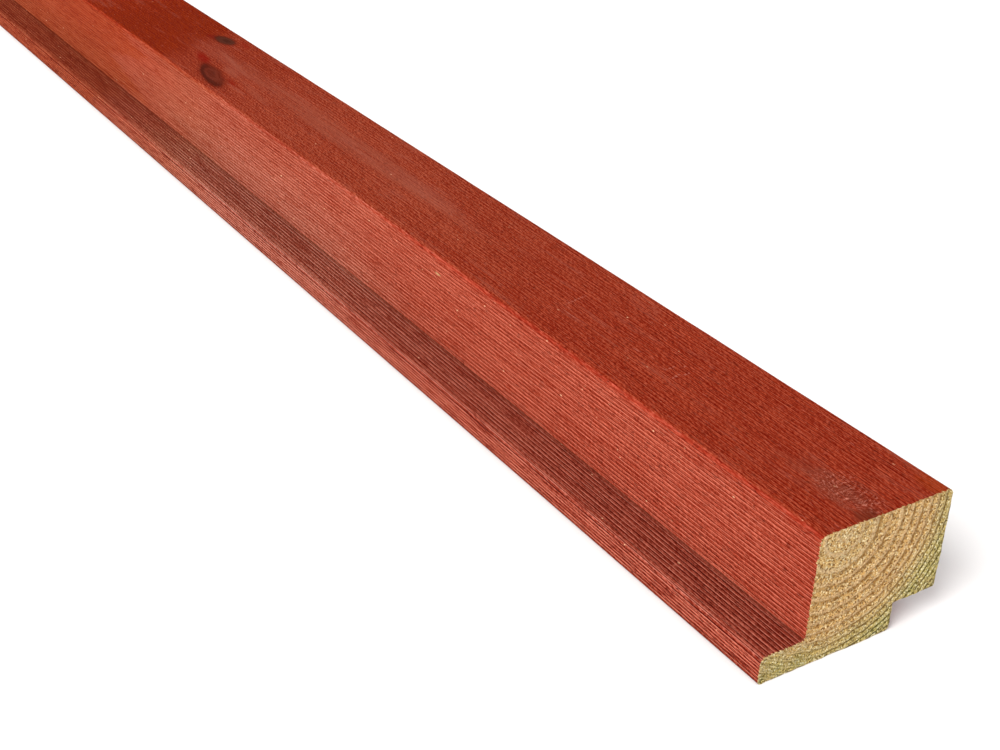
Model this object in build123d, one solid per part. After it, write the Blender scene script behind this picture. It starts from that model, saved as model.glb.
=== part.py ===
from build123d import *
import os

# Rebated batten of Z-shaped section: a rectangular body with a thin lip along
# the lower front and a rebate cut out of the lower back.  It is one sawn piece.
# Frame: +Y along the length, +X from the lip towards the back, +Z up, origin on
# the floor under the middle of the bounding box.  Millimetres.

LENGTH = 1800.0          # stock length
HEIGHT = 45.0            # overall height of the section
WIDTH = 68.0             # overall width, lip edge to back face
LIP_WIDTH = 16.5         # how far the lip stands out from the body's front face
LIP_THICKNESS = 9.5      # lip, floor to its upper face
REBATE_WIDTH = 17.0      # back rebate, measured in from the back face
REBATE_HEIGHT = 10.0     # back rebate, measured up from the floor

R_TOP_FRONT = 2.4        # eased edge, top of the front face
R_TOP_BACK = 1.8         # eased edge, top of the back face
R_BACK_LOW = 1.0         # lower edge of the back face
R_REBATE_IN = 0.6        # inner corner of the back rebate
R_FOOT_BACK = 1.0        # back edge of the foot
R_LIP_LOW = 1.2          # lower edge of the lip
R_LIP_TOP = 2.6          # upper edge of the lip, the most worn one
R_FRONT_IN = 0.4         # inner corner between the lip and the front face

x_lip = -WIDTH / 2
x_front = x_lip + LIP_WIDTH
x_back = WIDTH / 2
x_foot = x_back - REBATE_WIDTH

# Corners in order round the section, each with its radius.
corners = [
    ((x_lip, 0.0), R_LIP_LOW),
    ((x_foot, 0.0), R_FOOT_BACK),
    ((x_foot, REBATE_HEIGHT), R_REBATE_IN),
    ((x_back, REBATE_HEIGHT), R_BACK_LOW),
    ((x_back, HEIGHT), R_TOP_BACK),
    ((x_front, HEIGHT), R_TOP_FRONT),
    ((x_front, LIP_THICKNESS), R_FRONT_IN),
    ((x_lip, LIP_THICKNESS), R_LIP_TOP),
]

# The section stands in the XZ plane; its normal runs along -Y, so the stock is
# drawn out to both sides of it by half the length.
with BuildPart() as stock:
    with BuildSketch(Plane.XZ) as section:
        with BuildLine():
            FilletPolyline(
                *[p for p, r in corners],
                radius=[r for p, r in corners],
                close=True,
            )
        make_face()
    extrude(amount=LENGTH / 2, both=True)

batten = stock.part.solids()[0]
batten.label = "rebated_batten"

os.makedirs("parts", exist_ok=True)
export_step(batten, "parts/rebated_batten.step")
print("volume cm3", batten.volume / 1000.0, "box", batten.bounding_box())
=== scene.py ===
import math

import bpy
import numpy as np
from mathutils import Matrix, Vector
from mathutils.geometry import delaunay_2d_cdt


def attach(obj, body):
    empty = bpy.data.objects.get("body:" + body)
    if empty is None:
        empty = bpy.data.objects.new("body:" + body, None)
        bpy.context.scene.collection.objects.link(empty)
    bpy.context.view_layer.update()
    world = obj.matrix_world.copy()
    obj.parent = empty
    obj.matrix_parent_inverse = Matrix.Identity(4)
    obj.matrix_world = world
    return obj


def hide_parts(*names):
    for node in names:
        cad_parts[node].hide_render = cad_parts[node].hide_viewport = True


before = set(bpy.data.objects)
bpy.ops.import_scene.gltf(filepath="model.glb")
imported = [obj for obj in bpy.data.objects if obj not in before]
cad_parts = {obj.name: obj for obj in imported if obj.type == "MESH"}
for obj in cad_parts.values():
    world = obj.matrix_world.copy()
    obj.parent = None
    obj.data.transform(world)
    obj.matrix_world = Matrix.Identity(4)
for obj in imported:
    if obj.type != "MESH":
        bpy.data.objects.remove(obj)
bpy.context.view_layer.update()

# ---------------------------------------------------------------- section, mm
# Z-shaped section of the batten, the same corners and radii as the solid.
LENGTH, HEIGHT, WIDTH = 1800.0, 45.0, 68.0
XL, XF, XB, XR = -34.0, -17.5, 17.0, 34.0     # lip edge, front face, foot's back edge, back face
ZL, ZN = 9.5, 10.0                            # lip's upper face, rebate's ceiling

# ------------------------------------------------------------------- noise
def _hash(ix, iy, iz, seed):
    h = (ix.astype(np.int64) * 374761393 + iy.astype(np.int64) * 668265263
         + iz.astype(np.int64) * 1442695041 + seed * 974711) & 0xFFFFFFFF
    h = ((h ^ (h >> 13)) * 1274126177) & 0xFFFFFFFF
    h = ((h ^ (h >> 15)) * 2246822519) & 0xFFFFFFFF
    h = h ^ (h >> 16)
    return h.astype(np.float64) / 0xFFFFFFFF * 2.0 - 1.0


def vnoise(x, y, z=0.0, seed=0):
    """Smooth value noise, -1 to 1."""
    x, y, z = np.broadcast_arrays(np.asarray(x, float), np.asarray(y, float), np.asarray(z, float))
    ix, iy, iz = np.floor(x), np.floor(y), np.floor(z)
    fx, fy, fz = x - ix, y - iy, z - iz
    ux, uy, uz = (f * f * f * (f * (f * 6 - 15) + 10) for f in (fx, fy, fz))
    out = 0.0
    for dx, wx in ((0, 1 - ux), (1, ux)):
        for dy, wy in ((0, 1 - uy), (1, uy)):
            for dz, wz in ((0, 1 - uz), (1, uz)):
                out = out + wx * wy * wz * _hash(ix + dx, iy + dy, iz + dz, seed)
    return out


def fbm(x, y, z=0.0, seed=0, octaves=3, gain=0.5):
    total, amp, norm = 0.0, 1.0, 0.0
    for k in range(octaves):
        total = total + amp * vnoise(np.asarray(x) * 2 ** k, np.asarray(y) * 2 ** k, np.asarray(z) * 2 ** k, seed + 31 * k)
        norm += amp
        amp *= gain
    return total / norm


def smooth(a, b, x):
    t = np.clip((np.asarray(x, float) - a) / (b - a), 0, 1)
    return t * t * (3 - 2 * t)


# ---------------------------------------------------------------- growth rings
PITH = (-8.5, 43.3)
RING_R = np.array([0.0, 3.5, 8.1, 13.4, 17.7, 22.6, 26.7, 30.3, 33.5, 36.7, 39.5, 42.0, 44.3, 46.3, 48.2, 50.0, 51.7, 53.3, 54.8, 56.2])
def ring_number(x, z, y):
    """Growth-ring count outwards from the pith, which wanders a little along the length."""
    px = PITH[0] + 1.6 * vnoise(y / 260.0, 3.1, 0, 5) * smooth(20, 160, y)
    pz = PITH[1] + 1.2 * vnoise(y / 230.0, 7.7, 0, 6) * smooth(20, 160, y)
    dx, dz = (x - px) / 1.02, z - pz
    r = np.hypot(dx, dz)
    r = r + 0.45 * fbm(x / 10.0, z / 10.0, y / 90.0, 11, 2) + 0.20 * vnoise(x / 3.0, z / 3.0, y / 40.0, 12)
    r = np.maximum(r, 0.0)
    return np.interp(r, RING_R, np.arange(len(RING_R))), r


# --------------------------------------------------------- outline with ribs
rng = np.random.default_rng(20261)
X, Z, NX, NZ, TX, TZ, DEPTH, RIB, FACE, RIBID, PHASE, TURN = ([] for _ in range(12))
groove = 0            # grooves counted so far along the outline


def put(x, z, nx, nz, depth=0.0, rib=1.0, face=0, ribid=-1, phase=None, turn=0.0):
    X.append(x); Z.append(z); NX.append(nx); NZ.append(nz)
    TX.append(-nz); TZ.append(nx)
    DEPTH.append(depth); RIB.append(rib); FACE.append(face); RIBID.append(ribid)
    PHASE.append(groove + 0.5 if phase is None else phase); TURN.append(turn)


# points across one rib, as shares of the pitch, and how deep each lies: a steep wall, then a slope
PROFILE5 = ((0.0, 1.0), (0.12, 0.52), (0.27, 0.07), (0.58, 0.0), (0.87, 0.14))
PROFILE4 = ((0.0, 1.0), (0.22, 0.30), (0.55, 0.0), (0.85, 0.16))


def ribs_on(where, L, face, ribs, depth, margins, profile, jitter, bow=0.0):
    """Ribs along a run of the outline, between its margins; where(d) gives the point and normal at distance d."""
    global groove
    m0, m1 = margins
    pitch = (L - m0 - m1) / ribs
    edges = m0 + pitch * np.arange(ribs + 1)
    edges += bow * np.sin(np.pi * edges / L)
    if ribs > 1:
        edges[1:-1] += rng.uniform(-jitter, jitter, ribs - 1) * pitch
    if m0 > 0:
        put(*where(0.0), face=face, turn=0.0)
    if m0 > 1.0:
        put(*where(0.5), face=face, turn=0.5 / L)
    for k in range(ribs):
        groove += 1
        w = edges[k + 1] - edges[k]
        for off, dep in profile:
            d = edges[k] + off * w
            put(*where(d), depth * dep, 1.0 - dep, face, groove, groove + off, d / L)
    if m1 > 0:
        groove += 1
        put(*where(edges[-1]), depth * 0.9, 0.1, face, groove, groove, edges[-1] / L)


def straight(x0, z0, x1, z1, face, ribs=0, depth=0.0, margins=(0.0, 0.0), profile=PROFILE5, step=2.3, jitter=0.04, bow=0.0):
    """A flat run of the outline; ribs>0 gives it that many ribs between smooth margins."""
    L = math.hypot(x1 - x0, z1 - z0)
    tx, tz = (x1 - x0) / L, (z1 - z0) / L
    where = lambda d: (x0 + tx * d, z0 + tz * d, tz, -tx)
    if ribs:
        return ribs_on(where, L, face, ribs, depth, margins, profile, jitter, bow)
    n = max(2, int(round(L / step)))
    for k in range(n):
        put(*where(L * k / n), face=face)


def corner(cx, cz, r, a0, a1, face, n=6, concave=False, ribs=0, depth=0.0, margins=(0.1, 0.1), jitter=0.04):
    """A rounded corner about (cx, cz), from angle a0 to a1 in degrees."""
    sign = -1.0 if concave else 1.0

    def where(d):
        a = math.radians(a0) + math.copysign(d / r, a1 - a0)
        return cx + r * math.cos(a), cz + r * math.sin(a), sign * math.cos(a), sign * math.sin(a)

    L = r * math.radians(abs(a1 - a0))
    if ribs:
        return ribs_on(where, L, face, ribs, depth, margins, PROFILE5, jitter)
    for k in range(n):
        put(*where(L * k / n), face=face, turn=k / n)


# faces: 0 foot, 1 rebate wall, 2 rebate ceiling, 3 back, 4 top, 5 front, 6 lip top, 7 lip edge
# rounds: 10 lip low, 11 foot back, 12 rebate inner, 13 back low, 14 top back, 15 and 18 top front, 16 inner, 17 lip top
straight(XL + 1.2, 0, XB - 1.0, 0, 0)
corner(XB - 1.0, 1.0, 1.0, -90, 0, 11, 4)
straight(XB, 1.0, XB, ZN - 0.6, 1)
corner(XB + 0.6, ZN - 0.6, 0.6, 180, 90, 12, 3, True)
straight(XB + 0.6, ZN, XR - 1.0, ZN, 2)
corner(XR - 1.0, ZN + 1.0, 1.0, -90, 0, 13, 4)
straight(XR, ZN + 1.0, XR, HEIGHT - 1.8, 3)
corner(XR - 1.8, HEIGHT - 1.8, 1.8, 0, 90, 14, 6)
straight(XR - 1.8, HEIGHT, XF + 2.4, HEIGHT, 4, ribs=28, depth=0.12, margins=(0.4, 0.4), profile=PROFILE4, jitter=0.14)
corner(XF + 2.4, HEIGHT - 2.4, 2.4, 90, 150, 15, 9)
corner(XF + 2.4, HEIGHT - 2.4, 2.4, 150, 180, 18, ribs=1, depth=0.20, margins=(0.1, 0.0))
straight(XF, HEIGHT - 2.4, XF, ZL + 0.4, 5, ribs=22, depth=0.32, margins=(0.0, 0.85), bow=-0.26)
corner(XF - 0.4, ZL + 0.4, 0.4, 0, -90, 16, 5, True)
straight(XF - 0.4, ZL, XL + 2.6, ZL, 6, ribs=7, depth=0.30, margins=(1.45, 1.10))
corner(XL + 2.6, ZL - 2.6, 2.6, 90, 180, 17, ribs=2, depth=0.24, margins=(0.45, 1.03))
straight(XL, ZL - 2.6, XL, 1.2, 7, ribs=4, depth=0.24, margins=(0.28, 0.92))
corner(XL + 1.2, 1.2, 1.2, 180, 270, 10, 4)

X, Z, NX, NZ, TX, TZ, DEPTH, RIB, PHASE, TURN = (np.array(a, float) for a in (X, Z, NX, NZ, TX, TZ, DEPTH, RIB, PHASE, TURN))
FACE, RIBID = np.array(FACE), np.array(RIBID)
NP = len(X)
SEG = np.hypot(np.diff(np.append(X, X[0])), np.diff(np.append(Z, Z[0])))
S = np.concatenate([[0.0], np.cumsum(SEG)[:-1]])
PERIM = SEG.sum()

# ------------------------------------------------------- stations, mm from near end
def run(a, b, step):
    return np.linspace(a, b, int(round((b - a) / step)) + 1)[1:]


Y = np.concatenate([[0.0, 0.35, 1.0], run(1.0, 41.0, 2.0), run(41, 281, 5.0), run(281, 761, 8.0),
                    run(761, 1741, 28.0), run(1741, 1799, 7.0), [1799.65, 1800.0]])
NY = len(Y)

# ------------------------------------------------------------- skin vertices
yy = Y[None, :]
ss = S[:, None]
rid = RIBID[:, None].astype(float)
# each rib's depth drifts along the length, and crests are nicked here and there
vary = 0.86 + 0.22 * vnoise(rid * 1.7, yy / 120.0, 0, 21) + 0.12 * vnoise(rid * 2.3, yy / 22.0, 0, 22)
nick = smooth(0.62, 0.95, vnoise(ss / 0.9, yy / 9.0, 0, 23)) * 0.14
wave = 0.03 * fbm(ss / 9.0, yy / 70.0, 0, 24, 2)
is_rib = (RIBID >= 0)[:, None]
depth = DEPTH[:, None] * vary + np.where(is_rib, nick * RIB[:, None], 0.0) + 0.04 + wave
# planed backs carry faint cutter waves instead of ribs
plain = np.isin(FACE, (0, 1, 2, 3))[:, None]
depth = depth + np.where(plain, 0.02 * np.sin(yy / 3.2 + 2 * vnoise(ss / 20, yy / 50, 0, 25)), 0.0)
# worn rounds are a little uneven
rounds = np.isin(FACE, (14, 15))[:, None]
depth = depth + np.where(rounds, 0.05 * (1 + fbm(ss / 2.0, yy / 14.0, 0, 26, 2)), 0.0)
side = 0.05 * vnoise(rid * 0.9, yy / 85.0, 0, 27) * is_rib
px = X[:, None] - NX[:, None] * depth + TX[:, None] * side
pz = Z[:, None] - NZ[:, None] * depth + TZ[:, None] * side
py = np.repeat(yy, NP, 0)
# the saw leaves the edge of each end slightly ragged
rag0 = 0.16 + 0.16 * vnoise(S / 0.7, 1.3, 0, 31) + 0.10 * vnoise(S / 2.6, 2.3, 0, 32)
rag1 = 0.16 + 0.16 * vnoise(S / 0.7, 5.3, 0, 33) + 0.10 * vnoise(S / 2.6, 6.3, 0, 34)
py[:, 0] = np.clip(rag0, 0.0, 0.32)
py[:, -1] = LENGTH - np.clip(rag1, 0.0, 0.32)

verts = np.stack([px, py, pz], -1).transpose(1, 0, 2).reshape(-1, 3)      # station by station
unroll = np.stack([np.repeat(S[:, None], NY, 1), py, np.repeat(PHASE[:, None], NY, 1)], -1).transpose(1, 0, 2).reshape(-1, 3)
rib_attr = np.clip(RIB[:, None] + 0 * yy, 0, 1).T.reshape(-1)


def spread(w):
    """A value for each point of the outline, repeated at every station."""
    return np.repeat(np.asarray(w, float)[None, :], NY, 0).reshape(-1)


on = lambda *g: np.isin(FACE, g)
turn15, turn17 = np.where(on(15), TURN, 0.0), np.where(on(17), TURN, 0.0)
W_TOP = spread(np.where(on(15), 1 - smooth(0.34, 0.56, turn15), on(4, 14)))
W_EDGE = spread(np.where(on(15), smooth(0.34, 0.56, turn15) * (1 - 0.4 * smooth(0.8, 1.0, turn15)), 0.3 * on(18)))
turn16 = np.where(on(16), TURN, 0.0)
W_LIP = spread(np.where(on(17), 1 - smooth(0.38, 0.47, turn17), np.where(on(16), smooth(0.15, 0.50, turn16), on(6))))
# weights for the painted shade in the crease and the painted light on the front just above it
W_CREASE_SHADE = spread(np.where(on(16), smooth(0.15, 0.50, turn16), np.where(on(6), np.exp(-np.maximum(XF - 0.4 - X, 0) / 0.45), 0.0)))
W_FOOT_LIGHT = spread(np.where(on(16), 1 - smooth(0.15, 0.50, turn16), np.where(on(5), np.exp(-np.maximum(Z - ZL - 0.4, 0) / 4.0), 0.0)))
W_BACK = spread(on(0, 1, 2, 3, 11, 12, 13))
W_RIM = spread(np.where(on(17), smooth(0.40, 0.50, turn17), on(7, 10)))

quads = []
idx = np.arange(NP)
nxt = np.roll(idx, -1)
for j in range(NY - 1):
    a, b = j * NP, (j + 1) * NP
    quads.append(np.stack([idx + a, nxt + a, nxt + b, idx + b], -1))
quads = np.concatenate(quads)

# ------------------------------------------------------------------ cut ends
def inside(x, z, inset):
    """True where a point of the section lies at least inset from its outline."""
    body = (x > XF + inset) & (x < XR - inset) & (z > ZN + inset) & (z < HEIGHT - inset)
    foot = (x > XL + inset) & (x < XB - inset) & (z > inset) & (z < ZL - inset)
    neck = (x > XF + inset) & (x < XB - inset) & (z > inset) & (z < HEIGHT - inset)
    soft = np.hypot(np.minimum(x - (XL + 2.6), 0), np.maximum(z - (ZL - 2.6), 0)) < 2.6 - inset
    soft &= np.hypot(np.minimum(x - (XF + 2.4), 0), np.maximum(z - (HEIGHT - 2.4), 0)) < 2.4 - inset
    keep = (x > XL + 2.6) | (z < ZL - 2.6) | soft | (x > XF)
    keep &= (x > XF + 2.4) | (z < HEIGHT - 2.4) | (np.hypot(x - (XF + 2.4), z - (HEIGHT - 2.4)) < 2.4 - inset)
    keep &= (x < XR - 1.8) | (z < HEIGHT - 1.8) | (np.hypot(x - (XR - 1.8), z - (HEIGHT - 1.8)) < 1.8 - inset)
    keep &= (x < XR - 1.0) | (z > ZN + 1.0) | (np.hypot(x - (XR - 1.0), z - (ZN + 1.0)) < 1.0 - inset)
    keep &= (x < XB - 1.0) | (z > 1.0) | (x > XB) | (np.hypot(x - (XB - 1.0), z - 1.0) < 1.0 - inset)
    keep &= (x > XL + 1.2) | (z > 1.2) | (np.hypot(x - (XL + 1.2), z - 1.2) < 1.2 - inset)
    return (body | foot | neck) & keep


def cap(rim, spacing, seed):
    """Triangles over the section: the rim's own points and a jittered field inside it."""
    r = np.random.default_rng(seed)
    gx, gz = np.meshgrid(np.arange(XL, XR, spacing), np.arange(0, HEIGHT, spacing * 0.866))
    gx = gx + (np.arange(gx.shape[0]) % 2)[:, None] * spacing / 2
    gx = (gx + r.uniform(-0.28, 0.28, gx.shape) * spacing).ravel()
    gz = (gz + r.uniform(-0.28, 0.28, gz.shape) * spacing).ravel()
    ok = inside(gx, gz, 0.62)
    pts = np.concatenate([rim, np.stack([gx[ok], gz[ok]], -1)])
    n = len(rim)
    out = delaunay_2d_cdt([Vector(p) for p in pts], [], [list(range(n))], 1, 1e-7)
    new, faces, orig = out[0], out[2], out[3]
    assert len(new) == len(pts), (len(new), len(pts))
    back = [o[0] for o in orig]
    return pts[n:], np.array([[back[v] for v in f] for f in faces if len(f) == 3])


def cut_relief(x, z, y, seed):
    """How far the saw and the torn fibres leave the end below its flat, mm."""
    n, r = ring_number(x, z, y)
    f = n - np.floor(n)
    late = smooth(0.56, 0.68, f) * (1 - smooth(0.86, 0.96, f))
    pit = 1 - smooth(0.0, 0.22, np.minimum(f, 1 - f) * np.where(f > 0.5, 1.6, 1.0))
    grain = fbm(x / 0.95, z / 0.95, seed, seed + 1, 2, 0.6)
    tear = smooth(-0.35, 0.35, vnoise(x / 2.2, z / 2.2, 0, seed + 2)) * (0.35 + 0.65 * smooth(3, 12, r))
    return 0.16 + (1 - late) * 0.07 + 0.22 * pit * tear + (0.20 - 0.11 * late) * grain, n, r


extra_v, extra_u, tris, n0 = [], [], [], len(verts)
for near in (True, False):
    j = 0 if near else NY - 1
    rim = np.stack([px[:, j], pz[:, j]], -1)
    field, tri = cap(rim, 0.46 if near else 0.80, 41 if near else 42)
    rel, _, _ = cut_relief(field[:, 0], field[:, 1], 0.0 if near else LENGTH, 50 if near else 60)
    rel = np.clip(rel, 0.0, 0.6)
    start = n0 + sum(len(v) for v in extra_v)
    yv = rel if near else LENGTH - rel
    extra_v.append(np.stack([field[:, 0], yv, field[:, 1]], -1))
    extra_u.append(np.stack([field[:, 0] + 400.0, np.full(len(field), 0.0 if near else LENGTH), field[:, 1]], -1))
    lut = np.concatenate([j * NP + np.arange(NP), start + np.arange(len(field))])
    tri = lut[tri]
    allv = np.concatenate([verts, *extra_v])
    a, b, c = (allv[tri[:, k]] for k in range(3))
    up = np.cross(b - a, c - a)[:, 1]
    want = -1.0 if near else 1.0
    flip = np.sign(up) != want
    tri[flip] = tri[flip][:, ::-1]
    tris.append(tri)

verts = np.concatenate([verts, *extra_v])
NV, NSKIN = len(verts), n0
tris = np.concatenate(tris)

place = verts.copy()                                   # x, y from the near end, z in mm
ringn, ringr = ring_number(place[:, 0], place[:, 2], place[:, 1])
pad = NV - NSKIN
unroll = np.concatenate([unroll, *extra_u])
rib_attr = np.concatenate([rib_attr, np.ones(pad)])
W_TOP, W_LIP, W_EDGE, W_BACK, W_CREASE_SHADE, W_RIM, W_FOOT_LIGHT = (np.concatenate([w, np.zeros(pad)]) for w in (W_TOP, W_LIP, W_EDGE, W_BACK, W_CREASE_SHADE, W_RIM, W_FOOT_LIGHT))

# ---------------------------------------------------------------------- mesh
me = bpy.data.meshes.new("rebated_batten_wood")
co = np.stack([verts[:, 0], verts[:, 1] - LENGTH / 2, verts[:, 2]], -1) / 1000.0
me.vertices.add(NV)
me.vertices.foreach_set("co", co.astype(np.float32).ravel())
loops = np.concatenate([quads.ravel(), tris.ravel()]).astype(np.int32)
starts = np.concatenate([np.arange(len(quads)) * 4, len(quads) * 4 + np.arange(len(tris)) * 3]).astype(np.int32)
me.loops.add(len(loops))
me.loops.foreach_set("vertex_index", loops)
me.polygons.add(len(starts))
me.polygons.foreach_set("loop_start", starts)
mat_index = np.concatenate([np.zeros(len(quads)), np.ones(len(tris))]).astype(np.int32)
me.polygons.foreach_set("material_index", mat_index)
me.polygons.foreach_set("use_smooth", np.ones(len(starts), bool))
me.update(calc_edges=True)
me.validate(verbose=False)


def scalar(name, values):
    a = me.attributes.new(name, "FLOAT", "POINT")
    a.data.foreach_set("value", np.asarray(values, np.float32))


def vector(name, values):
    a = me.attributes.new(name, "FLOAT_VECTOR", "POINT")
    a.data.foreach_set("vector", np.asarray(values, np.float32).ravel())


# distance round the outline, distance along and rib count, per face corner so that the outline can close
corners = unroll[loops].copy()
cq = corners[:len(quads) * 4].reshape(-1, 4, 3)
shut = (cq[:, :, 0].max(1) - cq[:, :, 0].min(1)) > PERIM / 2
low = cq[:, :, 0] < PERIM / 2
cq[:, :, 0] += np.where(shut[:, None] & low, PERIM, 0.0)
cq[:, :, 2] = np.where(shut[:, None], 0.5, cq[:, :, 2])
corners[len(quads) * 4:, 2] = 0.5
at = me.attributes.new("unroll", "FLOAT_VECTOR", "CORNER")
at.data.foreach_set("vector", corners.astype(np.float32).ravel())
vector("place", place)
scalar("rib", rib_attr)
scalar("ringn", ringn)
scalar("ringr", ringr)
scalar("w_top", W_TOP)
scalar("w_lip", W_LIP)
scalar("w_edge", W_EDGE)
scalar("w_back", W_BACK)
scalar("w_crease_shade", W_CREASE_SHADE)
scalar("w_rim", W_RIM)
scalar("w_foot_light", W_FOOT_LIGHT)

# the rim of each end is a hard edge
ev = np.empty(len(me.edges) * 2, np.int32)
me.edges.foreach_get("vertices", ev)
ev = ev.reshape(-1, 2)
first, last = (ev < NP).all(1), ((ev >= (NY - 1) * NP) & (ev < NSKIN)).all(1)
gap = np.abs(ev[:, 0] - ev[:, 1])
rim_edge = (first | last) & ((gap == 1) | (gap == NP - 1))
sharp = me.attributes.new("sharp_edge", "BOOLEAN", "EDGE")
sharp.data.foreach_set("value", rim_edge)

# one map for the whole skin: the outline runs across it and the length up it
uv = me.uv_layers.new(name="OFBake")
lu = np.empty((len(loops), 2), np.float32)
nq = len(quads) * 4
lv = loops[:nq]
u = (unroll[lv, 0] / PERIM).reshape(-1, 4)
wrap = (u.max(1) - u.min(1)) > 0.5
u[wrap] = np.where(u[wrap] < 0.5, u[wrap] + 1.0, u[wrap])
vv = unroll[lv, 1] / LENGTH
lu[:nq, 0] = 0.004 + 0.992 * u.ravel()
lu[:nq, 1] = 0.205 + 0.791 * vv
lt = loops[nq:]
nearcap = place[lt, 1] < LENGTH / 2
lu[nq:, 0] = np.where(nearcap, 0.006, 0.506) + (place[lt, 0] - XL) / WIDTH * 0.485
lu[nq:, 1] = 0.006 + place[lt, 2] / HEIGHT * 0.185
uv.data.foreach_set("uv", lu.ravel())

batten = bpy.data.objects.new("rebated_batten_wood", me)
bpy.context.scene.collection.objects.link(batten)


# ----------------------------------------------------------------- materials
def lin(r, g, b):
    """sRGB 0-255 to a linear colour."""
    out = []
    for c in (r, g, b):
        c /= 255.0
        out.append(c / 12.92 if c <= 0.04045 else ((c + 0.055) / 1.055) ** 2.4)
    return (*out, 1.0)


class Tree:
    """Small helper that adds shader nodes and links them."""

    def __init__(self, name):
        self.mat = bpy.data.materials.new(name)
        self.mat.use_nodes = True
        self.t = self.mat.node_tree
        self.t.nodes.clear()
        self.out = self.t.nodes.new("ShaderNodeOutputMaterial")
        self.bsdf = self.t.nodes.new("ShaderNodeBsdfPrincipled")
        self.t.links.new(self.bsdf.outputs[0], self.out.inputs[0])

    def feed(self, socket, value):
        if isinstance(value, bpy.types.NodeSocket):
            self.t.links.new(value, socket)
        else:
            socket.default_value = value

    def attr(self, name, what="Fac"):
        n = self.t.nodes.new("ShaderNodeAttribute")
        n.attribute_name = name
        return n.outputs[what]

    def math(self, op, a, b=0.0, c=0.0, clamp=False):
        n = self.t.nodes.new("ShaderNodeMath")
        n.operation, n.use_clamp = op, clamp
        for s, v in zip(n.inputs, (a, b, c)):
            self.feed(s, v)
        return n.outputs[0]

    def add(self, a, b): return self.math("ADD", a, b)
    def sub(self, a, b): return self.math("SUBTRACT", a, b)
    def mul(self, a, b): return self.math("MULTIPLY", a, b)
    def mad(self, a, b, c): return self.math("MULTIPLY_ADD", a, b, c)
    def clip(self, a): return self.math("ADD", a, 0.0, clamp=True)

    def vec(self, v, scale, off=(0.0, 0.0, 0.0)):
        m = self.t.nodes.new("ShaderNodeVectorMath")
        m.operation = "MULTIPLY_ADD"
        self.feed(m.inputs[0], v)
        m.inputs[1].default_value = scale
        m.inputs[2].default_value = off
        return m.outputs[0]

    def xyz(self, v):
        n = self.t.nodes.new("ShaderNodeSeparateXYZ")
        self.feed(n.inputs[0], v)
        return n.outputs

    def noise(self, v, detail=2.0, rough=0.5, distort=0.0, dims="3D"):
        n = self.t.nodes.new("ShaderNodeTexNoise")
        n.noise_dimensions = dims
        self.feed(n.inputs["Vector"], v)
        n.inputs["Scale"].default_value = 1.0
        n.inputs["Detail"].default_value = detail
        n.inputs["Roughness"].default_value = rough
        n.inputs["Distortion"].default_value = distort
        return n.outputs[0]

    def voronoi(self, v, rand=1.0):
        n = self.t.nodes.new("ShaderNodeTexVoronoi")
        self.feed(n.inputs["Vector"], v)
        n.inputs["Scale"].default_value = 1.0
        n.inputs["Randomness"].default_value = rand
        return n.outputs["Distance"], n.outputs["Color"]

    def step(self, x, a, b, lo=0.0, hi=1.0):
        n = self.t.nodes.new("ShaderNodeMapRange")
        n.interpolation_type = "SMOOTHSTEP"
        for s, v in zip(n.inputs, (x, a, b, lo, hi)):
            self.feed(s, v)
        return n.outputs[0]

    def mix(self, f, a, b, blend="MIX"):
        n = self.t.nodes.new("ShaderNodeMix")
        n.data_type, n.blend_type, n.clamp_factor = "RGBA", blend, True
        self.feed(n.inputs[0], f)
        self.feed(n.inputs[6], a)
        self.feed(n.inputs[7], b)
        return n.outputs[2]

    def mixf(self, f, a, b):
        n = self.t.nodes.new("ShaderNodeMix")
        n.data_type, n.clamp_factor = "FLOAT", True
        self.feed(n.inputs[0], f)
        self.feed(n.inputs[2], a)
        self.feed(n.inputs[3], b)
        return n.outputs[0]

    def ramp(self, f, stops, mode="LINEAR"):
        n = self.t.nodes.new("ShaderNodeValToRGB")
        n.color_ramp.interpolation = mode
        e = n.color_ramp.elements
        while len(e) < len(stops):
            e.new(0.5)
        for k, (p, c) in enumerate(stops):
            e[k].position = p
            e[k].color = c if len(c) == 4 else (*c, 1.0)
        self.feed(n.inputs[0], f)
        return n.outputs[0]

    def bump(self, height, distance, strength=1.0, normal=None):
        n = self.t.nodes.new("ShaderNodeBump")
        n.inputs["Strength"].default_value = strength
        n.inputs["Distance"].default_value = distance
        self.feed(n.inputs["Height"], height)
        if normal is not None:
            self.feed(n.inputs["Normal"], normal)
        return n.outputs[0]

    def spot(self, x, y, cx, cy, rx, ry, turn=0.0, warp=None, amount=0.0):
        """Distance from an oval's centre, 1 on its outline."""
        c, s = math.cos(math.radians(turn)), math.sin(math.radians(turn))
        dx, dy = self.sub(x, cx), self.sub(y, cy)
        a = self.mul(self.mad(dx, c, self.mul(dy, s)), 1.0 / rx)
        b = self.mul(self.mad(dy, c, self.mul(dx, -s)), 1.0 / ry)
        d = self.math("SQRT", self.mad(a, a, self.mul(b, b)))
        return d if warp is None else self.mad(self.sub(warp, 0.5), amount, d)


# how much of each channel the stain gives back, face by face; these scales also carry painted light and shade, the
# faces being coloured apart for how the light falls on them
K_FRONT, K_TOP, K_LIP = (0.775, 0.68, 0.595), (0.865, 0.74, 0.595), (0.95, 0.84, 0.76)
K_EDGE, K_RIM, K_BACK = (0.68, 0.60, 0.555), (0.705, 0.53, 0.46), (0.775, 0.635, 0.56)


def shade(rgb, k):
    c = lin(*rgb)
    return tuple(c[i] * k[i] for i in range(3)) + (1.0,)


def dye(rgb, spread_by, k):
    """Dark, middle and light stops of a stain colour, spread_by levels apart."""
    return [(0.5 + 0.5 * d, shade([min(255.0, max(4.0, v + d * spread_by)) for v in rgb], k)) for d in (-1, 0, 1)]


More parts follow.
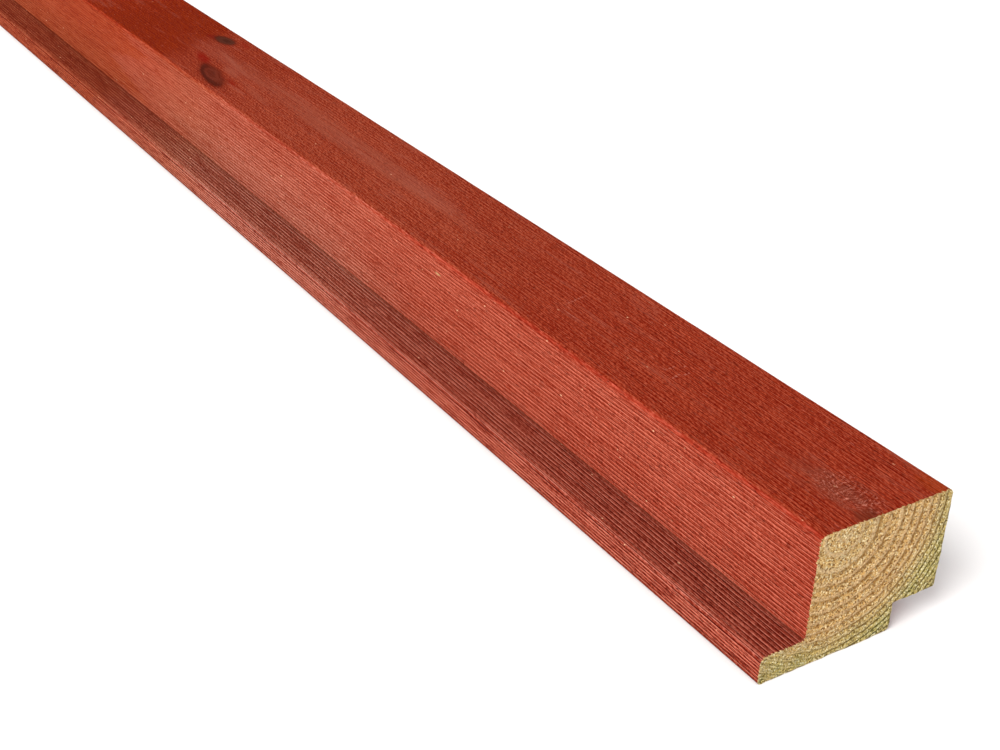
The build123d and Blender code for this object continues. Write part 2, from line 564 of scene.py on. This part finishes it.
def stained():
    m = Tree("red_stained_softwood")
    un, pl = m.attr("unroll", "Vector"), m.attr("place", "Vector")
    x, y, z = m.xyz(pl)
    s, _, phase = m.xyz(un)
    top, lip, edge, back, crease_shade, rim = (m.attr(n) for n in ("w_top", "w_lip", "w_edge", "w_back", "w_crease_shade", "w_rim"))

    streak = m.noise(m.vec(un, (0.85, 0.016, 0.0)), 4.0, 0.6)
    fibre = m.noise(m.vec(un, (1.9, 0.24, 0.0), (7.3, 1.9, 4.0)), 3.0, 0.62)
    hair = m.noise(m.vec(un, (3.8, 0.45, 0.0), (1.3, 5.9, 9.0)), 2.0, 0.6)
    mottle = m.noise(m.vec(un, (0.085, 0.0085, 0.0), (2.2, 3.4, 2.0)), 3.0, 0.55)
    grit = m.noise(m.vec(un, (2.1, 1.5, 0.0), (4.1, 2.2, 6.0)), 2.0, 0.6)

    def emboss(scale, off, across, along):
        """Painted light and shade: lit and shaded sides of small raised fibres."""
        a = m.noise(m.vec(un, scale, off), 2.0, 0.55)
        b = m.noise(m.vec(un, scale, (off[0] + across * scale[0], off[1] + along * scale[1], off[2])), 2.0, 0.55)
        return m.sub(a, b)

    ripple = emboss((1.35, 0.085, 0.0), (5.1, 8.3, 3.0), 0.28, 0.6)
    fleck = emboss((1.85, 0.50, 0.0), (2.7, 4.9, 8.0), 0.22, 0.45)

    # grooves between the ribs: a dark line, partly pooled stain and partly painted shade in the groove, and a painted
    # highlight line beside it on the side facing the key light
    k = m.math("ROUND", phase)
    e = m.sub(phase, k)
    d = m.math("ABSOLUTE", e)
    comb = m.t.nodes.new("ShaderNodeCombineXYZ")
    m.feed(comb.inputs[0], m.mul(k, 3.71))
    m.feed(comb.inputs[1], m.mul(y, 0.034))
    wob = m.noise(comb.outputs[0], 3.0, 0.6)
    comb2 = m.t.nodes.new("ShaderNodeCombineXYZ")
    m.feed(comb2.inputs[0], m.mad(k, 5.13, 40.0))
    m.feed(comb2.inputs[1], m.mul(y, 0.052))
    wob2 = m.noise(comb2.outputs[0], 3.0, 0.65)
    comb3 = m.t.nodes.new("ShaderNodeCombineXYZ")
    m.feed(comb3.inputs[0], m.mad(m.math("FLOOR", phase), 7.7, 11.0))
    m.feed(comb3.inputs[1], m.mul(y, 0.011))
    each = m.noise(comb3.outputs[0], 2.0, 0.5)
    wide = m.clip(m.mad(lip, 0.45, rim))
    gl = m.mul(m.step(d, m.mixf(wide, 0.155, 0.23), m.mixf(wide, 0.06, 0.11)), m.step(wob, 0.30, 0.56, 0.40, 1.0))
    side = m.mixf(lip, e, m.mul(e, -1.0))
    rib_highlight = m.mul(m.step(side, 0.10, 0.15), m.step(side, 0.30, 0.22))
    rib_highlight = m.mul(rib_highlight, m.step(wob2, 0.34, 0.58, 0.15, 1.0))
    # here and there a second, finer score along the rib
    half = m.math("ABSOLUTE", m.sub(m.math("FRACT", m.mad(m.sub(wob, 0.5), 0.12, phase)), 0.62))
    score = m.mul(m.step(half, 0.11, 0.05), m.step(wob2, 0.50, 0.36))

    # tone: 0 deep, 1 light; the rounded edge is planed smoother than the faces
    calm = m.mad(edge, -0.7, 1.0)
    tone = m.mad(m.sub(streak, 0.5), m.mixf(top, 0.40, 0.28), 0.5)
    tone = m.mad(m.sub(fibre, 0.5), m.mixf(top, 0.70, 0.68), tone)
    tone = m.mad(m.mul(m.sub(hair, 0.5), calm), m.mixf(top, 0.60, 0.85), tone)
    tone = m.mad(m.sub(mottle, 0.5), 0.36, tone)
    tone = m.mad(m.mul(m.sub(grit, 0.5), calm), m.mixf(top, 0.50, 0.30), tone)
    tone = m.mad(m.sub(each, 0.5), m.mixf(top, 0.45, 0.30), tone)
    # ripple and fleck are painted light and shade on small raised fibres
    tone = m.mad(ripple, m.mixf(top, 1.2, 2.0), tone)
    tone = m.mad(m.mul(fleck, calm), m.mixf(top, m.mad(rim, 0.9, 1.5), 2.0), tone)
    tone = m.mad(score, m.mixf(top, -0.34, -0.20), tone)
    tone = m.mad(m.mul(m.sub(fibre, 0.5), edge), 0.8, tone)
    tone = m.mad(gl, m.mixf(top, -0.30, -0.25), tone)
    tone = m.mad(rib_highlight, m.mixf(top, 0.25, 0.14), tone)
    tone = m.clip(tone)

    def face(rgb, by, k, dark, light, pooled_and_shade=1.0, highlight_gain=1.0):
        """Colour of one face: its stain, darkened in the grooves by pooled stain and painted shade, and with painted
        highlight lines.
        """
        c = m.ramp(tone, dye(rgb, by, k))
        c = m.mix(m.mul(gl, 0.66 * pooled_and_shade), c, shade(dark, k))
        return m.mix(m.mul(rib_highlight, 0.68 * highlight_gain), c, shade(light, k))

    # face colours with painted light and shade: the front and the rounded top edge are painted lighter, the top and the
    # lip top darker, for how the light falls on them; the light colours are painted highlights
    front_c = face((180, 78, 58), 46, K_FRONT, (112, 12, 3), (230, 138, 120))
    top_c = face((153, 55, 34), 36, K_TOP, (108, 14, 3), (190, 104, 86), 0.8, 0.68)
    lip_c = face((139, 61, 46), 44, K_LIP, (78, 8, 3), (204, 134, 118), 1.15, 1.08)
    edge_c = face((188, 68, 46), 56, K_EDGE, (120, 20, 8), (226, 128, 104))
    rim_c = face((174, 78, 58), 56, K_RIM, (92, 5, 2), (255, 174, 154), 1.48, 1.44)
    back_c = face((168, 68, 48), 36, K_BACK, (120, 30, 14), (200, 110, 90))
    col = m.mix(top, front_c, top_c)
    col = m.mix(lip, col, lip_c)
    col = m.mix(rim, col, rim_c)
    col = m.mix(edge, col, edge_c)
    col = m.mix(back, col, back_c)
    # painted light on the front just above the crease, offsetting the rendered shade there, and a darker crease, partly
    # pooled stain and partly painted shade
    col = m.mix(m.attr("w_foot_light"), col, (1.12, 1.14, 1.15, 1.0), "MULTIPLY")
    col = m.mix(m.mul(crease_shade, 0.55), col, lin(74, 32, 20))
    # the lip's upper edge is made lighter and less red
    col = m.mix(m.mul(m.step(z, 7.2, 8.6), rim), col, (1.0, 1.16, 1.27, 1.0), "MULTIPLY")
    # painted shade along the lower arris of the lip, next to the floor
    col = m.mix(m.mul(m.mul(m.step(z, 1.9, 0.7), rim), 0.55), col, lin(84, 26, 17))

    col = m.mix(m.mul(m.step(y, 26.0, 6.0), m.sub(1.0, top)), col, (0.95, 0.90, 0.89, 1.0), "MULTIPLY")
    # slow changes of the stain along the length: paler stretches and deep red ones
    drift = m.mad(m.sub(mottle, 0.5), 160.0, y)
    pale = m.mul(m.step(drift, m.mixf(top, 170, 110), m.mixf(top, 340, 270)), m.step(drift, m.mixf(top, 530, 470), m.mixf(top, 440, 390)))
    pale = m.math("MAXIMUM", pale, m.mul(m.step(drift, 1010, 1180), m.step(drift, 1420, 1300)))
    slant = m.mad(x, -0.53, y)
    deep = m.mul(m.step(m.mixf(top, m.sub(drift, 46.0), slant), 482, 510), m.step(drift, 960, 760))
    deep = m.math("MAXIMUM", deep, m.mul(m.step(drift, 1500, 1600), m.step(drift, 1790, 1690)))
    col = m.mix(m.mul(pale, m.mixf(top, m.mad(edge, 0.2, 0.80), 0.62)), col, (1.04, 1.42, 1.55, 1.0), "MULTIPLY")
    col = m.mix(m.mul(deep, m.mixf(top, m.mad(edge, -0.25, m.mad(lip, -0.12, m.mad(rim, -0.08, 0.55))), 1.0)), col, (0.83, 0.54, 0.18, 1.0), "MULTIPLY")
    col = m.mix(m.mul(pale, edge), col, (1.02, 1.15, 1.20, 1.0), "MULTIPLY")
    col = m.mix(m.mul(pale, lip), col, (1.07, 1.13, 1.11, 1.0), "MULTIPLY")
    round_knots = m.mul(m.mul(m.step(y, 415, 455), m.step(y, 610, 540)), top)
    col = m.mix(round_knots, col, (0.92, 0.95, 0.88, 1.0), "MULTIPLY")
    beyond = m.mul(m.step(drift, 390, 480), m.step(drift, 960, 760))
    tint = m.mix(m.clip(m.add(lip, rim)), (0.91, 0.95, 0.76, 1.0), (0.93, 0.91, 0.80, 1.0))
    tint = m.mix(edge, tint, (0.95, 1.01, 0.78, 1.0))
    col = m.mix(m.mul(beyond, m.clip(m.mad(m.sub(1.0, top), 0.5, m.mul(m.add(m.add(rim, edge), lip), 0.5)))), col, tint, "MULTIPLY")
    front = m.clip(m.sub(1.0, m.add(m.add(m.add(top, lip), m.add(rim, edge)), back)))
    far = m.mul(m.mul(m.step(y, 120, 380), m.step(y, 1100, 800)), front)
    col = m.mix(m.mul(far, m.step(z, 34.0, 12.0)), col, (0.97, 1.10, 1.14, 1.0), "MULTIPLY")
    col = m.mix(m.mul(far, m.step(z, 26.0, 43.0)), col, (1.00, 0.90, 0.86, 1.0), "MULTIPLY")

    def on_top(r, g, b):
        return shade((r, g, b), (0.86, 0.82, 0.82))

    def stain(col, dist, inner, outer, amount, colour):
        return m.mix(m.mul(m.mul(m.step(dist, outer, inner), top), amount), col, colour)

    # a paler, rubbed band along the middle of the top face
    band = m.spot(x, y, 10.5, 345, 8.5, 135, -1.0, fibre, 0.9)
    band = m.mul(m.mul(m.step(band, 1.1, 0.45), top), m.step(streak, 0.40, 0.58, 0.35, 1.0))
    col = m.mix(m.mul(band, 0.58), col, on_top(160, 84, 64))
    wisp = m.spot(x, y, 11.5, 268, 6.5, 42, -1.0, fibre, 1.4)
    col = stain(col, m.mad(m.sub(0.5, hair), 2.4, wisp), 0.1, 1.0, 0.26, on_top(172, 100, 82))
    worn = m.noise(m.vec(un, (0.22, 0.022, 0.0), (8.8, 2.4, 5.0)), 3.0, 0.6)
    worn = m.mul(m.mul(m.step(worn, 0.56, 0.68), top), m.step(hair, 0.40, 0.60, 0.3, 1.0))
    col = m.mix(m.mul(worn, 0.42), col, on_top(166, 90, 72))

    # dark short dashes: painted shadows cast by small raised fibres
    fibre_shadow = m.noise(m.vec(un, (1.8, 0.27, 0.0), (9.1, 3.2, 7.0)), 2.0, 0.55)
    fibre_shadow = m.step(fibre_shadow, 0.63, 0.70)
    col = m.mix(m.mul(fibre_shadow, m.mixf(top, 0.30, 0.54)), col, lin(74, 10, 3))
    # thin pale scratches
    scr = m.noise(m.vec(un, (2.2, 0.22, 0.0), (3.7, 6.1, 1.0)), 2.0, 0.5)
    scr = m.step(scr, 0.64, 0.71)
    col = m.mix(m.mul(scr, 0.46), col, lin(186, 102, 84))

    # scratches across and along the top face: ends, half width and strength
    crest = m.mul(m.step(d, 0.12, 0.28), m.step(hair, 0.38, 0.52, 0.30, 1.0))
    for x0, y0, x1, y1, w, amount in ((1.1, 153.8, 14.7, 157.0, 0.55, 0.50), (-0.2, 151.9, -0.4, 141.0, 0.40, 0.60),
                                      (6.6, 123.8, 6.7, 118.6, 0.45, 0.95), (3.2, 118.3, 4.4, 111.5, 0.40, 0.55),
                                      (3.7, 98.2, 8.8, 98.6, 0.50, 0.55), (1.6, 92.1, 7.0, 93.8, 0.55, 0.60),
                                      (6.1, 92.2, 10.4, 92.7, 0.50, 0.60), (3.7, 100.3, 3.9, 97.4, 0.40, 0.50),
                                      (30.6, 121.8, 30.4, 118.2, 0.40, 0.75), (9.0, 96.4, 12.0, 97.2, 0.45, 0.40)):
        lean = math.degrees(math.atan2(x0 - x1, y1 - y0))
        mark = m.spot(x, y, (x0 + x1) / 2, (y0 + y1) / 2, w, math.hypot(x1 - x0, y1 - y0) / 2, lean, grit, 1.1)
        col = m.mix(m.mul(m.mul(m.mul(m.step(mark, 1.15, 0.35), top), crest), amount), col, on_top(210, 134, 114))
    col = m.mix(m.mul(m.mul(m.step(m.spot(z, y, 38.4, 209.6, 0.55, 2.4, 0.0, grit, 1.0), 1.1, 0.5), front), 0.8), col, lin(190, 158, 112))

    # knots in the top face, with red flares and pale grain flowing past
    warp = m.noise(m.vec(pl, (0.13, 0.06, 0.0), (3.0, 5.0, 0.0)), 2.0, 0.5)
    ka = m.spot(x, y, -6.1, 449.6, 4.7, 17.0, -12.0, warp, 0.7)
    kb = m.spot(x, y, 22.3, 501.0, 4.1, 9.4, 2.0, warp, 0.35)
    col = stain(col, m.spot(x, y, 8.4, 468, 5.4, 50, -1.0, fibre, 1.6), 0.1, 1.3, 0.30, on_top(162, 86, 68))
    col = stain(col, m.spot(x, y, 14.5, 486, 4.0, 30, -4.0, fibre, 1.6), 0.1, 1.3, 0.24, on_top(158, 80, 60))
    col = stain(col, m.spot(x, y, 0.5, 415, 3.0, 26, -6.0, warp, 1.0), 0.2, 1.2, 0.35, on_top(158, 82, 62))
    col = stain(col, m.spot(x, y, 11.0, 466, 1.9, 26, -6.4, warp, 0.9), 0.1, 1.2, 0.36, on_top(174, 100, 80))
    col = stain(col, m.spot(x, y, 3.6, 449, 3.6, 14, -6.0, warp, 1.0), 0.1, 1.2, 0.42, on_top(166, 92, 72))
    col = stain(col, m.spot(x, y, 0.6, 478, 3.2, 13, -10.0, warp, 0.8), 0.2, 1.2, 0.82, on_top(138, 18, 5))
    col = stain(col, m.spot(x, y, -2.6, 434, 1.7, 9, -8.0, warp, 0.8), 0.2, 1.2, 0.60, on_top(140, 24, 8))
    col = stain(col, m.spot(x, y, 28.0, 488, 2.4, 9, -12.0, warp, 0.8), 0.2, 1.2, 0.50, on_top(140, 24, 8))
    col = stain(col, m.spot(x, y, 19.4, 510, 2.2, 6, 0.0, warp, 0.8), 0.2, 1.2, 0.65, on_top(124, 16, 6))
    col = stain(col, ka, 0.90, 1.60, 0.50, on_top(112, 32, 16))
    col = stain(col, kb, 0.85, 1.55, 0.55, on_top(108, 30, 14))
    swirl = m.math("SINE", m.mad(ka, 8.0, m.mul(warp, 6.0)))
    heart = m.mix(m.step(swirl, -1.0, 1.0), on_top(96, 37, 23), on_top(111, 48, 33))
    col = stain(col, ka, 0.35, 1.20, 0.84, heart)
    crescent = m.mul(m.step(m.math("ABSOLUTE", m.sub(ka, 0.84)), 0.34, 0.06), m.step(m.mad(y, -0.215, x), -99.0, -105.0, 0.30, 1.0))
    col = m.mix(m.mul(m.mul(crescent, top), 0.66), col, on_top(58, 18, 8))
    swirl2 = m.math("SINE", m.mad(kb, 8.0, m.mul(warp, 6.0)))
    heart2 = m.mix(m.step(swirl2, -1.0, 1.0), on_top(68, 34, 22), on_top(84, 44, 30))
    col = stain(col, kb, 0.70, 1.15, 0.90, heart2)

    # weathered patch by the near end: dull haze, torn fibres curling round a buried knot, a dark place on the rim
    rough_n = m.noise(m.vec(pl, (0.30, 0.14, 0.0), (1.0, 2.0, 0.0)), 3.0, 0.6)
    wp = m.spot(x, y, 3.0, 18.5, 7.2, 23.0, -4.0, rough_n, 1.8)
    col = stain(col, wp, 0.15, 1.15, 0.60, on_top(148, 69, 50))
    rho = m.spot(x, y, 6.2, 12.0, 5.2, 5.4, 0.0, rough_n, 0.9)
    bend = m.mixf(m.step(rho, 1.5, 0.6), x, m.mul(rho, 5.2))
    bend = m.mad(m.sub(rough_n, 0.5), 2.6, bend)
    comb4 = m.t.nodes.new("ShaderNodeCombineXYZ")
    m.feed(comb4.inputs[0], m.mul(bend, 1.9))
    m.feed(comb4.inputs[1], m.mul(y, 0.85))
    torn = m.noise(comb4.outputs[0], 3.0, 0.65)
    field = m.mul(m.step(m.spot(x, y, 5.2, 14.0, 7.6, 15.0, 0.0, rough_n, 1.4), 1.2, 0.35), top)
    lines = m.mul(m.step(torn, 0.53, 0.63), field)
    col = m.mix(m.mul(lines, 0.80), col, on_top(226, 144, 122))
    pits = m.mul(m.step(torn, 0.47, 0.37), field)
    col = m.mix(m.mul(pits, 0.68), col, on_top(86, 22, 10))
    col = stain(col, m.spot(x, y, 1.0, 1.6, 4.8, 5.0, 0.0, rough_n, 1.6), 0.2, 1.15, 0.62, on_top(96, 40, 24))
    col = stain(col, m.spot(x, y, 31.0, 3.0, 5.5, 11.0, 0.0, rough_n, 1.2), 0.3, 1.2, 0.40, on_top(160, 62, 16))

    # chips down to bare wood
    dv, cv = m.voronoi(m.vec(un, (0.50, 0.27, 0.0), (3.0, 1.0, 0.0)))
    rnd = m.xyz(cv)
    size = m.mad(rnd[1], 0.10, 0.065)
    chip = m.mul(m.step(m.sub(dv, size), 0.03, -0.03), m.step(rnd[0], m.mixf(top, 0.80, 0.93), m.mixf(top, 0.94, 1.0)))
    col = m.mix(m.mul(chip, m.mad(rnd[2], 0.60, 0.32)), col, lin(232, 178, 140))

    # the cut leaves a frayed rim without stain
    fray = m.noise(m.vec(un, (1.3, 0.5, 0.0), (2.0, 9.0, 5.0)), 2.0, 0.6)
    fromend = m.math("MINIMUM", y, m.sub(LENGTH, y))
    bare = m.step(m.sub(fromend, m.mad(fray, 2.5, -1.00)), 0.10, -0.05)
    col = m.mix(bare, col, m.mix(m.step(grit, 0.50, 0.62), lin(170, 134, 84), lin(232, 204, 150)))

    m.feed(m.bsdf.inputs["Base Color"], col)
    m.feed(m.bsdf.inputs["Roughness"], m.mad(m.sub(fibre, 0.5), 0.3, 0.68))
    m.bsdf.inputs["Specular IOR Level"].default_value = 0.01
    h = m.mad(fibre, 0.55, m.mad(hair, 0.30, m.mul(grit, 0.25)))
    h = m.mad(fibre_shadow, -0.35, m.mad(m.mul(m.sub(torn, 0.5), field), 0.9, h))
    m.feed(m.bsdf.inputs["Normal"], m.bump(h, 0.0011, 1.0))
    return m.mat


K_END = (0.99, 0.985, 0.95)


def tan(r, g, b):
    c = lin(r, g, b)
    return tuple(c[i] * K_END[i] for i in range(3)) + (1.0,)


def endgrain():
    m = Tree("bare_end_grain")
    pl = m.attr("place", "Vector")
    x = m.xyz(pl)[0]
    n, r = m.attr("ringn"), m.attr("ringr")
    cut = m.vec(pl, (1.0, 0.02, 1.0))
    coarse = m.noise(m.vec(cut, (0.14, 1.0, 0.14)), 3.0, 0.55)
    grain = m.noise(m.vec(cut, (1.05, 1.0, 1.05), (3.0, 0.0, 8.0)), 2.0, 0.6)
    fine = m.noise(m.vec(cut, (2.1, 1.0, 2.1), (6.0, 0.0, 2.0)), 2.0, 0.6)
    breaks = m.noise(m.vec(cut, (0.36, 1.0, 0.36), (1.0, 4.0, 9.0)), 2.0, 0.6)
    outer = m.step(r, 31.0, 38.0)
    stray = m.mad(m.sub(grain, 0.5), 0.26, m.mul(m.sub(fine, 0.5), 0.16))
    f = m.math("FRACT", m.mad(stray, m.mixf(outer, 1.3, 0.95), n))
    dashes = m.noise(m.vec(cut, (0.85, 1.0, 0.85), (7.0, 2.0, 3.0)), 2.0, 0.6)
    green = m.clip(m.mul(m.step(r, 33.0, 45.0), m.mad(coarse, 1.3, 0.15)))

    # smooth ridge of late wood just inside each ring
    late = m.mul(m.mul(m.step(f, 0.54, 0.70), m.step(f, 0.97, 0.84)), m.step(dashes, 0.30, 0.52, 0.25, 1.0))
    early = m.mix(green, tan(209, 168, 107), tan(186, 170, 98))
    ridge = m.mix(green, tan(206, 172, 129), tan(184, 170, 106))
    col = m.mix(late, early, ridge)
    # torn rows of early wood just outside each ring, finer and doubled towards the lip; their dark colour is partly
    # torn wood and partly painted shadow at the foot of each ridge
    row = m.math("MAXIMUM", m.step(f, 0.27, 0.08), m.step(f, 0.89, 0.97))
    row = m.mul(row, m.mul(m.mixf(outer, m.step(breaks, 0.36, 0.54, 0.10, 1.0), m.mul(m.step(breaks, 0.26, 0.44, 0.45, 1.0), m.step(dashes, 0.34, 0.52, 0.30, 1.0))), m.step(r, 4.0, 16.0, 0.12, 1.0)))
    row = m.mul(row, m.step(x, -24.0, 4.0, 0.40, 1.0))
    twin = m.mul(m.step(m.math("ABSOLUTE", m.sub(f, 0.52)), 0.20, 0.08), m.mul(m.step(x, -10.0, -22.0), 0.42))
    row = m.math("MAXIMUM", row, twin)
    # grains standing up and holes between them, with painted highlights on the grains and painted shade in the holes
    loose = m.mul(m.sub(1.0, m.mul(late, 0.50)), m.sub(1.0, m.mul(row, m.mixf(outer, 0.35, 0.60))))
    bead, tint = m.voronoi(m.vec(cut, (1.50, 1.0, 1.50), (0.5, 0.0, 2.5)))
    pick = m.xyz(tint)
    speck = m.mul(m.step(bead, 0.60, 0.40), m.step(pick[0], 0.64, 0.74))
    gap = m.mul(m.step(bead, 0.62, 0.42), m.step(pick[1], 0.66, 0.76))
    hole = m.mul(m.math("MAXIMUM", m.step(grain, 0.45, 0.36), gap), loose)
    up = m.mul(m.math("MAXIMUM", m.mul(m.step(grain, 0.55, 0.64), 0.7), speck), loose)
    col = m.mix(m.mul(hole, 0.86), col, m.mix(green, tan(112, 66, 20), tan(56, 54, 6)))
    col = m.mix(m.mul(up, 0.95), col, m.mix(green, tan(252, 232, 188), tan(246, 238, 192)))
    # finer painted highlight and shade specks
    col = m.mix(m.mul(m.mul(m.step(fine, 0.55, 0.64), 0.78), loose), col, tan(252, 232, 180))
    col = m.mix(m.mul(m.mul(m.step(fine, 0.45, 0.36), 0.78), loose), col, m.mix(green, tan(126, 86, 40), tan(80, 78, 28)))
    # dark rows: torn wood and painted shadow
    col = m.mix(m.mul(row, m.mixf(green, 0.66, 0.95)), col, m.mix(green, tan(126, 84, 32), tan(58, 56, 8)))
    col = m.mix(m.mul(m.step(r, 10.0, 18.0), m.step(r, 38.0, 31.0)), col, (1.02, 0.955, 0.90, 1.0), "MULTIPLY")
    col = m.mix(m.step(x, -16.0, -24.0), col, (1.11, 1.11, 1.16, 1.0), "MULTIPLY")
    m.feed(m.bsdf.inputs["Base Color"], col)
    m.feed(m.bsdf.inputs["Roughness"], m.mad(grain, 0.2, 0.72))
    m.bsdf.inputs["Specular IOR Level"].default_value = 0.03
    h = m.mad(grain, 0.8, m.mad(fine, 0.45, m.mad(row, -0.50, m.mul(late, 0.25))))
    h = m.mad(up, 0.35, m.mad(hole, -0.25, h))
    m.feed(m.bsdf.inputs["Normal"], m.bump(h, 0.0011, 1.0))
    return m.mat


me.materials.append(stained())
me.materials.append(endgrain())

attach(batten, "root")
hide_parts("rebated_batten")

# --------------------------------------------------------------------- stage
fm = bpy.data.meshes.new("floor")
q = 30.0
fm.from_pydata([(-q, -q, -0.0002), (q, -q, -0.0002), (q, q, -0.0002), (-q, q, -0.0002)], [], [(0, 1, 2, 3)])
floor = bpy.data.objects.new("floor", fm)
bpy.context.scene.collection.objects.link(floor)
ft = Tree("pale_floor")
fn = ft.noise(ft.vec(ft.t.nodes.new("ShaderNodeTexCoord").outputs["Object"], (3.0, 3.0, 3.0)), 3.0, 0.5)
ft.feed(ft.bsdf.inputs["Base Color"], ft.mix(fn, (0.90, 0.90, 0.90, 1.0), (0.93, 0.93, 0.93, 1.0)))
ft.bsdf.inputs["Roughness"].default_value = 0.9
ft.bsdf.inputs["Specular IOR Level"].default_value = 0.1
fm.materials.append(ft.mat)

world = bpy.data.worlds.new("studio")
bpy.context.scene.world = world
world.use_nodes = True
bg = world.node_tree.nodes["Background"]
bg.inputs[0].default_value = (1.0, 0.99, 0.98, 1.0)
bg.inputs[1].default_value = 0.63


def sun(name, towards, strength, angle, colour=(1, 1, 1)):
    d = bpy.data.lights.new(name, "SUN")
    d.energy, d.angle, d.color = strength, math.radians(angle), colour
    o = bpy.data.objects.new(name, d)
    o.rotation_euler = Vector(towards).to_track_quat("Z", "Y").to_euler()
    bpy.context.scene.collection.objects.link(o)
    return o


sun("key", (-0.70, -0.22, 0.70), 2.95, 32, (1.0, 0.985, 0.965))
sun("fill", (0.10, -0.85, 0.50), 0.74, 60)

# -------------------------------------------------------------------- camera
cd = bpy.data.cameras.new("camera")
cam = bpy.data.objects.new("camera", cd)
bpy.context.scene.collection.objects.link(cam)
cd.sensor_fit, cd.sensor_width, cd.lens = "HORIZONTAL", 36.0, 55.36687373051108
cd.clip_start, cd.clip_end = 0.01, 100.0
rot = Matrix(((0.8462039954226545, 0.22991733284308627, -0.4807045019438222),
              (-0.5317829630150529, 0.42168560437456837, -0.7344304809239514),
              (0.033847871095056464, 0.8771084716963901, 0.47909816374179093)))
cam.matrix_world = Matrix.Translation((-0.28422758, -1.14348040, 0.28281591)) @ rot.to_4x4()
bpy.context.scene.camera = cam

vs = bpy.context.scene.view_settings
vs.view_transform, vs.look = "Standard", "None"

print("batten", len(me.vertices), "verts", sum(len(p.vertices) - 2 for p in me.polygons), "triangles", NP, "x", NY)
bpy.context.view_layer.update()
